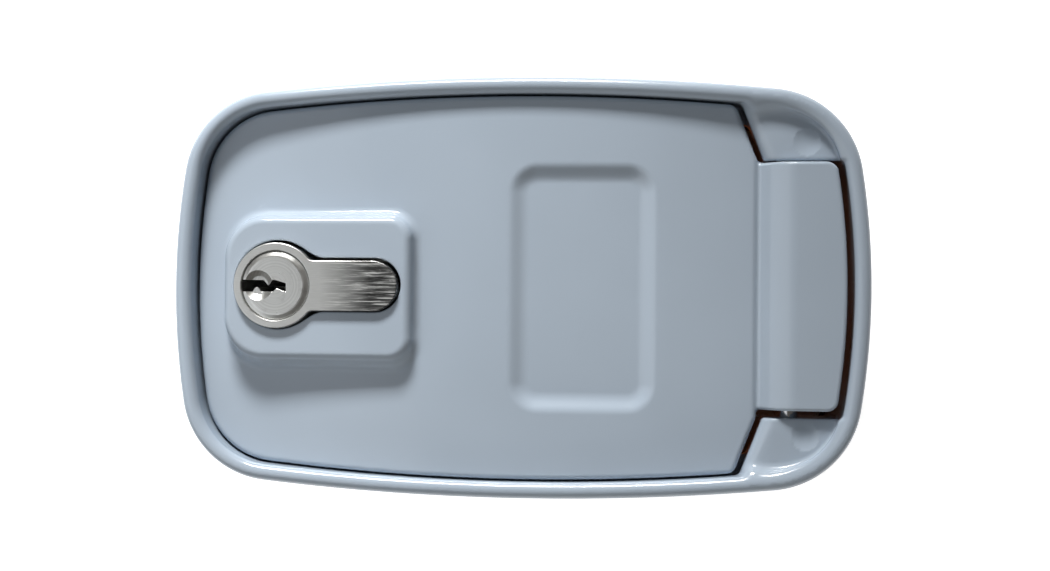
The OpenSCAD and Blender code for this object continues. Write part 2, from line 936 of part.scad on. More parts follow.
module down_plunger() {
    mirror([0, 1, 0]) snap_plunger();
}

module switch_terminals() {
    color(brass)
        for (s = [0, 1], i = [0 : 2])
            mirror([0, s, 0])
                translate([switch_x0 + 2 + i * 7.4, button_y - 1.6, switch_top_z - switch_h - 3.8])
                    cube([0.6, 3.2, 3.8]);
}

// Bracket clamped under a bush's nut, with a leg that carries the switch
module switch_bracket() {
    leg_in = switch_w / 2;
    leg_out = 12;
    color(steel)
        difference() {
            translate([button_x + 8, 0, 0])
                rotate([90, 0, -90])
                    linear_extrude(18)
                        mirror([1, 0])
                            translate([button_y, 0])
                                polygon([[-10, panel_z - bracket_t], [leg_out, panel_z - bracket_t],
                                         [leg_out, 20], [leg_in, 20], [leg_in, 9],
                                         [leg_in + bracket_t, 9], [leg_in + bracket_t, 18.8],
                                         [leg_out + bracket_t, 18.8], [leg_out + bracket_t, panel_z],
                                         [-10, panel_z]]);
            translate([button_x, button_y, 20])
                cylinder(r = bush_r + 0.1, h = 10);
            for (x = switch_hole_x)
                translate([x, button_y, switch_hole_z])
                    rotate([90, 0, 0])
                        cylinder(r = 1.2, h = 40, center = true);
        }
}

module switch_brackets() {
    for (s = [0, 1])
        mirror([0, s, 0]) switch_bracket();
}

module switch_screws() {
    color(steel)
        for (s = [0, 1], x = switch_hole_x)
            mirror([0, s, 0])
                translate([x, button_y - switch_w / 2, switch_hole_z])
                    rotate([90, 0, 0])
                        pan_screw(1.15, 2, 1.3, switch_w + bracket_t + 0.8);
}

// ---- Terminal block ------------------------------------------------------------------

block_x = 49;
block_w = 12;
block_h = 12;
poles = 5;
pole_pitch = 6;
block_screw_y = 18.5;
block_half = 16;
foot_half = 21.5;
foot_h = 3;

module at_poles() {
    for (i = [0 : poles - 1])
        translate([block_x, (i - (poles - 1) / 2) * pole_pitch, 0])
            children();
}

module terminal_block() {
    color([0.86, 0.85, 0.80])
        difference() {
            union() {
                box_between([block_x - block_w / 2, -block_half, plate_t],
                            [block_x + block_w / 2, block_half, plate_t + block_h]);
                box_between([block_x - 4, -foot_half, plate_t],
                            [block_x + 4, foot_half, plate_t + foot_h]);
            }
            at_poles()
                translate([0, 0, plate_t + 4])
                    cylinder(r = 2.1, h = 20);
            at_poles()
                translate([0, 0, plate_t + 4.6])
                    rotate([0, 90, 0])
                        cylinder(r = 1.7, h = 40, center = true);
            for (s = [-1, 1])
                translate([block_x, s * block_screw_y, 0])
                    cylinder(r = 1.6, h = 20);
        }
}

module terminal_screws() {
    color(nickel)
        at_poles()
            translate([0, 0, plate_t + 6.6])
                difference() {
                    cylinder(r = 1.95, h = 3.6);
                    translate([-3, -0.3, 2.6]) cube([6, 0.6, 2]);
                }
}

module block_screws() {
    color(steel)
        for (s = [-1, 1])
            translate([block_x, s * block_screw_y, plate_t + foot_h])
                pan_screw(small_screw_r, 2.5, 1.6, 3);
}

back_plate();
back_gasket();
housing();
back_screws();
hinge_pin();
pin_stop_screw();
door_gasket();
strike_plate();
strike_screws();
panel_standoffs();
control_panel();
panel_screws();
button_bushes();
bush_nuts();
switch_brackets();
up_switch();
down_switch();
switch_terminals();
switch_screws();
terminal_block();
terminal_screws();
block_screws();
cable_grommet();
door();
cylinder_body();
chamber_plugs();
pin_springs();
driver_pins();
cylinder_saddle();
cylinder_screw();
saddle_screws();
plug();
key_pins();
cam();
cam_circlip();
up_button();
down_button();
up_spring();
down_spring();
up_button_clip();
down_button_clip();
up_plunger();
down_plunger();
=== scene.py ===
"""Lockable key-switch box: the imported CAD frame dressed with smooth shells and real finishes.

Shapes are worked out in millimetres and written to Blender in metres. The box lies on its
back: +X right, +Y up as installed, +Z out of the wall.
"""
import json
import math

import bpy
import numpy as np
from mathutils import Matrix, Vector


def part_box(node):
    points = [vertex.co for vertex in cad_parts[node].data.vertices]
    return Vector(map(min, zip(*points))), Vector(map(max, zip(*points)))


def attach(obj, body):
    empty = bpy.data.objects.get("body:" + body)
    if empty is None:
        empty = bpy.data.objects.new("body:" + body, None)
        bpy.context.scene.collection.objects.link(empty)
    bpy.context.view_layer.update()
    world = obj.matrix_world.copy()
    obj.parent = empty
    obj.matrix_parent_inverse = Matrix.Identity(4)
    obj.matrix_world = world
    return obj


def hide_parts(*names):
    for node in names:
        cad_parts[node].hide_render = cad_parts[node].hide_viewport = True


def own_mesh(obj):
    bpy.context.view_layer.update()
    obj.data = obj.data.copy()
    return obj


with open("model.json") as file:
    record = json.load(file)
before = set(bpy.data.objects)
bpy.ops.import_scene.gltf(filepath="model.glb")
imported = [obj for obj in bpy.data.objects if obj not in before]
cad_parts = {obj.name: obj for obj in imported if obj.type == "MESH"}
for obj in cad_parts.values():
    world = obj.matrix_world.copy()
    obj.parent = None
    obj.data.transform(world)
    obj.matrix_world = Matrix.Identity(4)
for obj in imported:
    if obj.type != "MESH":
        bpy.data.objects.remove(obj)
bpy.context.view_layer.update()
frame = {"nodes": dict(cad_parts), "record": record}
MM = 0.001


def box_mm(node):
    low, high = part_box(node)
    return np.array(low) / MM, np.array(high) / MM


# ---- Sizes taken from the frame --------------------------------------------------------

housing_low, housing_high = box_mm("housing")
pin_low, pin_high = box_mm("hinge_pin")
plug_low, plug_high = box_mm("plug")
cylinder_high = box_mm("cylinder_body")[1]
strike_screws_low, strike_screws_high = box_mm("strike_screws")
back_screws_low, back_screws_high = box_mm("back_screws")

HALF_W = housing_high[0]
HALF_H = housing_high[1]
FOOT_Z = housing_low[2]
CREST_Z = housing_high[2]
HINGE_X = (pin_low[0] + pin_high[0]) / 2
HINGE_Z = (pin_low[2] + pin_high[2]) / 2
PIN_R = (pin_high[0] - pin_low[0]) / 2
PIN_END = pin_high[1]
LOCK_X = (plug_low[0] + plug_high[0]) / 2
LOCK_FACE = cylinder_high[2]
PLUG_R = (plug_high[0] - plug_low[0]) / 2
PLUG_FACE = plug_high[2]
PROFILE_R = cylinder_high[1]
BAR_END = cylinder_high[0] - LOCK_X
BAR_HALF = 5.0
STRIKE_SCREW_Z = (strike_screws_low[2] + strike_screws_high[2]) / 2
BACK_SCREW_HEAD_R = 3.95
BACK_SCREW_X = (back_screws_high[0] - back_screws_low[0]) / 2 - BACK_SCREW_HEAD_R
BACK_SCREW_Y = (back_screws_high[1] - back_screws_low[1]) / 2 - BACK_SCREW_HEAD_R

# ---- Sizes of the castings -------------------------------------------------------------
# edge is the radius of an outer edge, fillet that of the seam with the rest of the casting

SIDE_R = 149.0
TOP_R = 497.0
CORNER_R = 18.6
RIM_W = 3.2
WALL_INSET = 1.0
BEAD_Z = 43.6
BEAD_FLARE = 2.4
FOOT_EDGE = 0.4
SMALL_SCREW_R = 1.55
PIN_FIT = 0.02
RUNNING_GAP = 0.05
LEDGE = dict(low=36.0, high=39.0, outer=2.4, inner=6.8, end_x=46.0, fillet=0.7)
CORNER_BOSS = dict(r=5.0, height=11.0, edge=0.5, fillet=1.2, hole_r=2.05, hole_depth=9.5)
STRIKE_PAD = dict(outer=2.0, inner=5.4, half=12.0, low=12.0, high=35.0, edge=0.6, fillet=0.8,
                  hole_y=5.5, hole_from=2.4)
EAR = dict(y=25.0, r0=5.15, growth=0.39, top=47.5, base=35.0, outer=2.0, top_edge=1.2,
           edge=0.5, fillet=0.8)
SCOOP = dict(x=HINGE_X - 3, y=22.4, r=12.7, floor=45.6, heel=(1.7, 0.7), lip=(2.2, 0.7))
MARK = dict(x=56.6, y=28.5, r=2.7, depth=0.4)

DOOR_GAP = 0.4
SLANT_GAP = 1.2
DOOR_CORNER = 1.1
DOOR_EDGE = 1.0
DOOR_EDGE_Z = 40.2
CROWN_Z = 45.8
CROWN_R = 840.0
SKIN = 2.8
LIP = 2.6
LEAN_EVENING = 0.93  # brings the slope of a leaning wall's field back to about 1
BOSS = dict(low=(LOCK_X - 10.6, -14.3), high=(LOCK_X + 26.6, 13.5), top=LOCK_FACE - 1.1,
            foot=43.0, depth=8.0, left_corner=8.0, right_corner=4.2, edge=1.1, fillet=1.3)
BOSS_LEAN = dict(plain=0.16, below=0.24, above=0.06, right=0.1)
RECESS = dict(low=(-0.7, -23.7), high=(26.8, 23.7), depth=1.3, corner=5.0, lean=1.1,
              lean_evening=0.75, fillet=1.3, edge=0.9)
KNUCKLE = dict(low=-23.5, high=24.7, top=47.7, thick=2.8, barrel=4.0, inset=RIM_W + 1.4,
               top_edge=2.2, corner=1.8, edge=0.7, fillet=1.0)
STEP_X = HINGE_X - 4.9
STRIP = np.array([3.6, 3.3])  # how far the knuckle's flank runs across and up
STRIP_DIRECTION = STRIP / np.linalg.norm(STRIP)
CUTOUT = dict(gap=0.35, shift=(0.2, 0.2), neck=2.2, edge=0.25)
SLEEVE = dict(wall=2.4, neck=1.0, low=34.0, high=44.0, fillet=0.8)
SADDLE_BLOCK = dict(left=5.0, right=4.0, half=16.0, corner=1.5, top=43.8, fillet=0.6)
SADDLE_HOLE = dict(x=LOCK_X + 20.1, y=13.2, depth=4.3)


# ---- Distance fields -------------------------------------------------------------------
# Each field is negative inside its solid, and takes arrays of x, y and z in millimetres.

def blend_union(a, b, k):
    """Union of two fields, with a seam about k wide filled in."""
    h = np.maximum(k - np.abs(a - b), 0) / k
    return np.minimum(a, b) - h * h * k / 4


def blend_cut(a, b, k):
    """Intersection of two fields, with an edge about k wide eased off."""
    return -blend_union(-a, -b, k)


def round_cut(a, b, r):
    """Intersection of two fields, with an edge of radius r."""
    corner = np.hypot(np.maximum(a + r, 0), np.maximum(b + r, 0))
    return np.minimum(-r, np.maximum(a, b)) + corner


def smooth_step(value, start, end):
    t = np.clip((value - start) / (end - start), 0, 1)
    return t * t * (3 - 2 * t)


def fade(value, start, end, first, last):
    """first up to start and last from end on, with a smooth change between them."""
    return first + (last - first) * smooth_step(value, start, end)


def slab(value, low, high):
    return np.maximum(low - value, value - high)


def rounded_box(x, y, low, high, r):
    """Distance to a rounded rectangle in the plane."""
    dx = np.abs(x - (low[0] + high[0]) / 2) - (high[0] - low[0]) / 2 + r
    dy = np.abs(y - (low[1] + high[1]) / 2) - (high[1] - low[1]) / 2 + r
    outside = np.hypot(np.maximum(dx, 0), np.maximum(dy, 0))
    return outside + np.minimum(np.maximum(dx, dy), 0) - r


def polygon_field(x, y, points):
    """Signed distance to a closed polygon in the plane."""
    best = np.full(np.broadcast(x, y).shape, 1e9)
    inside = np.zeros(best.shape, bool)
    for (ax, ay), (bx, by) in zip(points, points[1:] + points[:1]):
        ex, ey = bx - ax, by - ay
        t = np.clip(((x - ax) * ex + (y - ay) * ey) / (ex * ex + ey * ey), 0, 1)
        best = np.minimum(best, np.hypot(x - ax - t * ex, y - ay - t * ey))
        if ay != by:
            crosses = ((ay > y) != (by > y)) & (x < ex * (y - ay) / ey + ax)
            inside = inside ^ crosses
    return np.where(inside, -best, best)


# The outline's arcs, worked out for the first quadrant
TOP_C = np.array([0, HALF_H - TOP_R])
SIDE_C = np.array([HALF_W - SIDE_R, 0])


def corner_centre():
    """Centre of the corner's arc, which touches the top's arc and the side's from inside."""
    apart = SIDE_C - TOP_C
    span = np.linalg.norm(apart)
    along = ((TOP_R - CORNER_R) ** 2 - (SIDE_R - CORNER_R) ** 2 + span ** 2) / (2 * span)
    across = math.sqrt((TOP_R - CORNER_R) ** 2 - along ** 2)
    unit = apart / span
    return TOP_C + along * unit + across * np.array([unit[1], -unit[0]])


CORNER_C = corner_centre()
TOP_ANGLE = math.atan2(CORNER_C[0] - TOP_C[0], CORNER_C[1] - TOP_C[1])
SIDE_ANGLE = math.atan2(CORNER_C[1] - SIDE_C[1], CORNER_C[0] - SIDE_C[0])


def depth_in_outline(x, y):
    """How far a point lies inside the rim's outline."""
    x, y = np.abs(x), np.abs(y)
    top = np.hypot(x - TOP_C[0], y - TOP_C[1]) - TOP_R
    side = np.hypot(x - SIDE_C[0], y - SIDE_C[1]) - SIDE_R
    corner = np.hypot(x - CORNER_C[0], y - CORNER_C[1]) - CORNER_R
    past_top = np.arctan2(x - TOP_C[0], y - TOP_C[1]) > TOP_ANGLE
    past_side = np.arctan2(y - SIDE_C[1], x - SIDE_C[0]) > SIDE_ANGLE
    return -np.where(past_top & past_side, corner, np.maximum(top, side))


def rim_field(t, z):
    """The wall with its bead, at depth t inside the outline."""
    outer = WALL_INSET * (1 - smooth_step(z, BEAD_Z - BEAD_FLARE, BEAD_Z))
    wall = round_cut(np.maximum(outer - t, t - RIM_W), FOOT_Z - z, FOOT_EDGE)
    half = RIM_W / 2
    bead = np.hypot(t - half, z - np.clip(z, BEAD_Z, CREST_Z - half)) - half
    return np.where(z < BEAD_Z, wall, bead)


def ledge_field(x, t, z):
    """The ledge that the door's gasket lies on."""
    ledge = np.maximum(slab(z, LEDGE["low"], LEDGE["high"]),
                       slab(t, LEDGE["outer"], LEDGE["inner"]))
    return np.maximum(ledge, x - LEDGE["end_x"])


def add_corner_bosses(solid, x, y, z):
    """The four bosses that the back plate's screws go into."""
    from_boss = np.hypot(np.abs(x) - BACK_SCREW_X, np.abs(y) - BACK_SCREW_Y)
    boss = round_cut(from_boss - CORNER_BOSS["r"],
                     slab(z, FOOT_Z, FOOT_Z + CORNER_BOSS["height"]), CORNER_BOSS["edge"])
    solid = blend_union(solid, boss, CORNER_BOSS["fillet"])
    hole = np.maximum(from_boss - CORNER_BOSS["hole_r"], z - FOOT_Z - CORNER_BOSS["hole_depth"])
    return np.maximum(solid, -hole)


def add_strike_pad(solid, x, y, z):
    """The pad on the left wall that carries the strike plate."""
    from_wall = x + HALF_W
    pad = np.maximum(slab(from_wall, STRIKE_PAD["outer"], STRIKE_PAD["inner"]),
                     np.abs(y) - STRIKE_PAD["half"])
    pad = round_cut(pad, slab(z, STRIKE_PAD["low"], STRIKE_PAD["high"]), STRIKE_PAD["edge"])
    solid = blend_union(solid, pad, STRIKE_PAD["fillet"])
    hole = np.hypot(np.abs(y) - STRIKE_PAD["hole_y"], z - STRIKE_SCREW_Z) - SMALL_SCREW_R
    hole = np.maximum(hole, np.maximum(STRIKE_PAD["hole_from"] - from_wall, x))
    return np.maximum(solid, -hole)


def ear_radius(y):
    return EAR["r0"] + EAR["growth"] * np.maximum(np.abs(y) - EAR["y"], 0)


def scoop_field(x, y, z):
    """The dish cut into an ear's top, with a shallow dimple in its floor."""
    bowl = np.hypot(x - SCOOP["x"], np.abs(y) - SCOOP["y"]) - SCOOP["r"]
    mark = np.hypot(x - MARK["x"], np.abs(y) - MARK["y"])
    dimple = MARK["depth"] * np.maximum(1 - (mark / MARK["r"]) ** 2, 0)
    heel = fade(x, HINGE_X - 2, HINGE_X + 9, *SCOOP["heel"])
    return blend_cut(bowl, SCOOP["floor"] - dimple - z, heel)


def ear_field(x, y, z, t):
    """The two hinge ears, with the blind bore for the pin."""
    reach_x = np.maximum(HINGE_X - x, 0)
    reach_z = np.maximum(z - HINGE_Z, 0)
    flank = (np.hypot(reach_x, reach_z) - ear_radius(y)) * LEAN_EVENING
    body = blend_cut(flank, z - EAR["top"], EAR["top_edge"])
    body = np.maximum(body, np.maximum(EAR["base"] - z, EAR["outer"] - t))
    lip = fade(x, HINGE_X - 6, HINGE_X + 2, *SCOOP["lip"])
    body = blend_cut(body, -scoop_field(x, y, z), lip)
    body = round_cut(body, EAR["y"] - np.abs(y), EAR["edge"])
    bore = np.hypot(x - HINGE_X, z - HINGE_Z) - PIN_R - PIN_FIT
    return np.maximum(body, -np.maximum(bore, y - PIN_END))


def housing_field(x, y, z):
    t = depth_in_outline(x, y)
    solid = rim_field(t, z)
    solid = blend_union(solid, ledge_field(x, t, z), LEDGE["fillet"])
    solid = add_corner_bosses(solid, x, y, z)
    solid = add_strike_pad(solid, x, y, z)
    solid = blend_union(solid, ear_field(x, y, z, t), EAR["fillet"])
    through_wall = slab(y, -2 * HALF_H, -PIN_END)
    bore = np.hypot(x - HINGE_X, z - HINGE_Z) - PIN_R - PIN_FIT
    return np.maximum(solid, -np.maximum(bore, through_wall))


def crown_field(x, z):
    return np.hypot(x, z - CROWN_Z + CROWN_R) - CROWN_R


def leaf_plan(x, y):
    """The door's outline: the gap to the rim, and the slanting ends beside the ears."""
    t = depth_in_outline(x, y)
    slant = (x - HINGE_X + ear_radius(y) + SLANT_GAP) * LEAN_EVENING
    return round_cut(RIM_W + DOOR_GAP - t, slant, DOOR_CORNER)


def euro_plan(x, y, gap, neck):
    """Profile-cylinder shape: a round part with a bar to the right."""
    ring = np.hypot(x, y) - PROFILE_R - gap
    along = np.clip(x, 0, BAR_END - BAR_HALF)
    bar = np.hypot(x - along, y) - BAR_HALF - gap
    return blend_union(ring, bar, neck)


def boss_field(x, y, z):
    """The lock's raised boss, whose walls lean out more below and to the right."""
    drop = np.clip(BOSS["top"] - z, 0, BOSS["depth"])
    lean = (BOSS_LEAN["plain"] + BOSS_LEAN["below"] * smooth_step(-y, 8, 15)
            + BOSS_LEAN["above"] * smooth_step(y, 8, 15)
            + BOSS_LEAN["right"] * smooth_step(x, LOCK_X, LOCK_X + 24))
    low, high = BOSS["low"], BOSS["high"]
    beyond = high[0] + 9  # far enough for the left box's right corners to play no part
    wide_right = rounded_box(x, y, low, high, BOSS["right_corner"])
    wide_left = rounded_box(x, y, low, (beyond, high[1]), BOSS["left_corner"])
    plan = np.where(x < LOCK_X + 6, wide_left, wide_right)
    return round_cut((plan - drop * lean) * LEAN_EVENING, z - BOSS["top"], BOSS["edge"])


def recess_field(x, y, z):
    """The shallow label recess with its sloping walls."""
    plan = rounded_box(x, y, RECESS["low"], RECESS["high"], RECESS["corner"])
    crown = crown_field(x, z)
    walls = (plan - crown * RECESS["lean"]) * RECESS["lean_evening"]
    return blend_cut(walls, -(RECESS["depth"] + crown), RECESS["fillet"])


def knuckle_field(x, y, z):
    """The hinge knuckle: a raised strip whose left flank slants down to the crown."""
    foot, low = STEP_X - 3, KNUCKLE["top"] - KNUCKLE["thick"]
    foot_z = CROWN_Z - CROWN_R + math.sqrt(CROWN_R ** 2 - STEP_X ** 2)
    under = HINGE_Z - KNUCKLE["barrel"] + 0.3
    above = 60  # well above the top, which is cut next
    section = polygon_field(x, z, [
        (foot, DOOR_EDGE_Z), (foot, above), (HALF_W, above), (HALF_W, low),
        (HINGE_X + 3, low), (HINGE_X + 1, under), (HINGE_X - 2, under), (STEP_X, DOOR_EDGE_Z)])
    rise = (z - foot_z) * STRIP_DIRECTION[0] - (x - STEP_X + 0.5) * STRIP_DIRECTION[1]
    top = round_cut(z - KNUCKLE["top"], rise, KNUCKLE["top_edge"])
    section = np.maximum(section, top)
    barrel = np.hypot(x - HINGE_X, z - HINGE_Z) - KNUCKLE["barrel"]
    section = blend_union(section, barrel, 0.5)
    edge = KNUCKLE["inset"] - depth_in_outline(x, y)
    plan = round_cut(edge, slab(y, KNUCKLE["low"], KNUCKLE["high"]), KNUCKLE["corner"])
    return round_cut(section, plan, KNUCKLE["edge"])


def leaf_field(x, y, z):
    """The door's crowned skin with the lip round it."""
    plan = leaf_plan(x, y)
    crown = crown_field(x, z)
    skin = round_cut(plan, crown, DOOR_EDGE)
    skin = np.maximum(skin, DOOR_EDGE_Z - z)
    hollow = blend_cut(plan + LIP, crown + SKIN, 1.0)
    return blend_cut(skin, -hollow, 0.5)


def add_lock_seat(solid, x, y, z):
    """The sleeve round the cylinder and the block for its saddle, both behind the skin."""
    sleeve = euro_plan(x - LOCK_X, y, CUTOUT["gap"] + SLEEVE["wall"], SLEEVE["neck"])
    sleeve = np.maximum(sleeve, slab(z, SLEEVE["low"], SLEEVE["high"]))
    solid = blend_union(solid, sleeve, SLEEVE["fillet"])
    half = SADDLE_BLOCK["half"]
    block = rounded_box(x, y, (LOCK_X - SADDLE_BLOCK["left"], -half),
                        (LOCK_X + BAR_END + SADDLE_BLOCK["right"], half), SADDLE_BLOCK["corner"])
    block = np.maximum(block, slab(z, DOOR_EDGE_Z, SADDLE_BLOCK["top"]))
    return blend_union(solid, block, SADDLE_BLOCK["fillet"])


def cut_door_holes(solid, x, y, z):
    """The lock's cutout, the pin's bore and the saddle's screw holes."""
    shift_x, shift_y = CUTOUT["shift"]
    cutout = euro_plan(x - LOCK_X - shift_x, y - shift_y, CUTOUT["gap"], CUTOUT["neck"])
    solid = round_cut(solid, -cutout, CUTOUT["edge"])
    solid = np.maximum(solid, PIN_R + RUNNING_GAP - np.hypot(x - HINGE_X, z - HINGE_Z))
    hole = np.hypot(x - SADDLE_HOLE["x"], np.abs(y) - SADDLE_HOLE["y"]) - SMALL_SCREW_R
    return np.maximum(solid, -np.maximum(hole, z - DOOR_EDGE_Z - SADDLE_HOLE["depth"]))


def door_field(x, y, z):
    solid = add_lock_seat(leaf_field(x, y, z), x, y, z)
    boss = np.maximum(boss_field(x, y, z), BOSS["foot"] - z)
    solid = blend_union(solid, boss, BOSS["fillet"])
    solid = blend_union(solid, knuckle_field(x, y, z), KNUCKLE["fillet"])
    solid = blend_cut(solid, -recess_field(x, y, z), RECESS["edge"])
    return cut_door_holes(solid, x, y, z)


# The lock's own sizes. Places across it are measured from the plug's axis
CYLINDER_LENGTH = 40
CYLINDER_REAR = LOCK_FACE - CYLINDER_LENGTH
CAM_Z = LOCK_FACE - 30
CAM_SLOT = 10.0
CAM_REACH = 15.8
SHAFT_R = 4.0
FIXING = dict(x=20.1, r=2.5)
CHAMBERS = [LOCK_FACE - 4.6 - 3.5 * i for i in range(5)]
CHAMBER_R = 1.46
MOUTH_DEPTH = 0.35
PLUG_DIMPLE = dict(x=-3.4, r=3.0, lean=1.3, depth=0.9)
KEYWAY = [(-8.5, 1.05), (-2.55, 1.05), (-1.55, -0.1), (-0.45, 1.05), (0, 1.05), (2.2, 0.4),
          (2.2, -1.25), (0.25, -0.55), (-0.4, -1.25), (-3, -1.25), (-3.45, -0.55),
          (-3.9, -0.3), (-4.4, -0.55), (-4.75, -1.25), (-8.5, -1.25)]


def chamber_field(y, z):
    """The row of pin chambers."""
    drilled = [np.hypot(y, z - level) - CHAMBER_R for level in CHAMBERS]
    return np.minimum.reduce(drilled)


def cylinder_body_field(x, y, z):
    x = x - LOCK_X
    solid = round_cut(euro_plan(x, y, 0, 0.6), slab(z, CYLINDER_REAR, LOCK_FACE), 0.22)
    from_axis = np.hypot(x, y)
    mouth = MOUTH_DEPTH * np.clip(z - LOCK_FACE + MOUTH_DEPTH, 0, 1)
    bore = from_axis - PLUG_R - RUNNING_GAP - mouth
    bore = np.maximum(bore, CAM_Z + CAM_SLOT / 2 - z)
    shaft = np.maximum(from_axis - SHAFT_R - RUNNING_GAP, z - CAM_Z - CAM_SLOT / 2)
    slot = np.maximum(from_axis - CAM_REACH, np.abs(z - CAM_Z) - CAM_SLOT / 2)
    drilled = np.maximum(chamber_field(y, z), 1 - x)
    across = np.hypot(x - FIXING["x"], z - CAM_Z) - FIXING["r"]
    for cut in (bore, shaft, slot, drilled, across):
        solid = np.maximum(solid, -cut)
    return solid


def plug_profile():
    """Half section of the plug: its shaft with a clip groove, its barrel and its face."""
    top, rear, centre = PLUG_FACE, CYLINDER_REAR, -9
    back = CAM_Z + CAM_SLOT / 2 + 0.1
    groove_r = SHAFT_R - 0.6
    return [(centre, rear - 2), (SHAFT_R - 0.3, rear - 2), (SHAFT_R, rear - 1.7),
            (SHAFT_R, rear - 1.2), (groove_r, rear - 1.2), (groove_r, rear - 0.2),
            (SHAFT_R, rear - 0.2), (SHAFT_R, back), (PLUG_R, back), (PLUG_R, top - 0.55),
            (PLUG_R - 0.15, top - 0.36), (PLUG_R - 0.9, top - 0.05), (PLUG_R - 1.2, top),
            (centre, top)]


def plug_field(x, y, z):
    x = x - LOCK_X
    solid = polygon_field(np.hypot(x, y), z, plug_profile())
    keyway_end = CAM_Z + CAM_SLOT / 2 + 1.1
    key = np.maximum(polygon_field(x, y, KEYWAY), keyway_end - z)
    solid = round_cut(solid, -key, 0.1)
    from_dimple = np.hypot(x - PLUG_DIMPLE["x"], y) - PLUG_DIMPLE["r"]
    dimple = (from_dimple + PLUG_DIMPLE["lean"] * (PLUG_FACE - z)) * 0.6
    dimple = np.maximum(dimple, PLUG_FACE - PLUG_DIMPLE["depth"] - z)
    solid = np.maximum(solid, -dimple)
    return np.maximum(solid, -np.maximum(chamber_field(y, z), 2.5 - x))


# ---- Meshing ---------------------------------------------------------------------------

def steps(low, high, spacing):
    """Even steps from low up to but not including high."""
    count = max(1, int(round((high - low) / spacing)))
    return np.linspace(low, high, count, endpoint=False)


def axis(*stretches):
    """Grid lines along one axis: (start, spacing), ..., end."""
    lines = [steps(start, following[0] if isinstance(following, tuple) else following, spacing)
             for (start, spacing), following in zip(stretches[:-1], stretches[1:])]
    return np.concatenate(lines + [np.array([stretches[-1]])])


CUBE = np.array([(i, j, k) for i in (0, 1) for j in (0, 1) for k in (0, 1)])
CUBE_EDGES = [(a, b) for a in range(8) for b in range(a + 1, 8)
              if np.abs(CUBE[a] - CUBE[b]).sum() == 1]


def cell_points(values, grid, cells):
    """One point in each cell that the surface crosses: the mean of its edges' crossings."""
    corner_values = [values[tuple((cells + c).T)] for c in CUBE]
    corner_places = [np.stack([grid[a][cells[:, a] + c[a]] for a in range(3)], 1) for c in CUBE]
    total = np.zeros((len(cells), 3))
    count = np.zeros((len(cells), 1))
    for a, b in CUBE_EDGES:
        crossed = (corner_values[a] < 0) != (corner_values[b] < 0)
        gap = corner_values[a] - corner_values[b]
        t = np.where(crossed, corner_values[a] / np.where(crossed, gap, 1), 0)[:, None]
        total += crossed[:, None] * (corner_places[a] * (1 - t) + corner_places[b] * t)
        count += crossed[:, None]
    return total / count


def slope(field, points, reach=0.02):
    """The field's gradient at the points."""
    parts = []
    for a in range(3):
        shift = np.zeros(3)
        shift[a] = reach
        ahead = field(*(points + shift).T)
        behind = field(*(points - shift).T)
        parts.append((ahead - behind) / (2 * reach))
    return np.stack(parts, 1)


def settle(field, points, limit, rounds=4):
    """Moves the points onto the surface, none further than limit."""
    start = points.copy()
    for _ in range(rounds):
        g = slope(field, points)
        size = np.maximum((g * g).sum(1, keepdims=True), 0.05)
        points = points - field(*points.T)[:, None] * g / size
        moved = points - start
        far = np.maximum(np.linalg.norm(moved, axis=1, keepdims=True) / limit, 1)
        points = start + moved / far
    return points


def crossing_quads(inside, number, a):
    """A face for each grid edge along axis a whose two ends lie on either side of the surface."""
    b, c = (a + 1) % 3, (a + 2) % 3
    low = [slice(1, -1)] * 3
    high = list(low)
    low[a] = slice(0, -1)
    high[a] = slice(1, None)
    starts, ends = inside[tuple(low)], inside[tuple(high)]
    offset = np.ones(3, int)
    offset[a] = 0
    faces = []
    for leaving in (True, False):
        crossed = (starts & ~ends) if leaving else (~starts & ends)
        edge = np.argwhere(crossed) + offset
        ring = []
        for step_b, step_c in ((-1, -1), (0, -1), (0, 0), (-1, 0)):
            cell = edge.copy()
            cell[:, b] += step_b
            cell[:, c] += step_c
            ring.append(number[tuple(cell.T)])
        quad = np.stack(ring, 1)
        faces.append(quad if leaving else quad[:, ::-1])
    return faces


def surface_net(field, grid):
    """Points and four-sided faces of the surface where the field is zero."""
    xs, ys, zs = grid
    values = field(xs[:, None, None], ys[None, :, None], zs[None, None, :])
    inside = values < 0
    shape = np.array(inside.shape) - 1
    filled = sum(inside[i:i + shape[0], j:j + shape[1], k:k + shape[2]].astype(np.int8)
                 for i, j, k in CUBE)
    cells = np.argwhere((filled > 0) & (filled < len(CUBE)))
    number = np.full(tuple(shape), -1)
    number[tuple(cells.T)] = np.arange(len(cells))
    faces = [quad for a in range(3) for quad in crossing_quads(inside, number, a)]
    spacing = min(np.diff(line).min() for line in grid)
    points = settle(field, cell_points(values, grid, cells), spacing * 0.8)
    return points, np.concatenate(faces)


def place_piece(name, mesh, material, body, node):
    """A piece in the scene, riding on a body and standing for a CAD node."""
    mesh.materials.append(material)
    piece = bpy.data.objects.new(name, mesh)
    bpy.context.scene.collection.objects.link(piece)
    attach(piece, body)
    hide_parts(node)
    return piece


def cast_piece(name, field, grid, material, body, node):
    """A piece meshed from its distance field, with the field's own normals."""
    points, faces = surface_net(field, grid)
    normals = slope(field, points)
    normals /= np.linalg.norm(normals, axis=1, keepdims=True)
    mesh = bpy.data.meshes.new(name)
    mesh.vertices.add(len(points))
    mesh.vertices.foreach_set("co", (points * MM).ravel())
    mesh.loops.add(faces.size)
    mesh.loops.foreach_set("vertex_index", faces.ravel())
    mesh.polygons.add(len(faces))
    mesh.polygons.foreach_set("loop_start", np.arange(0, faces.size, 4))
    mesh.update(calc_edges=True)
    mesh.polygons.foreach_set("use_smooth", np.ones(len(faces), bool))
    mesh.normals_split_custom_set_from_vertices(normals)
    place_piece(name, mesh, material, body, node)


# ---- Materials -------------------------------------------------------------------------

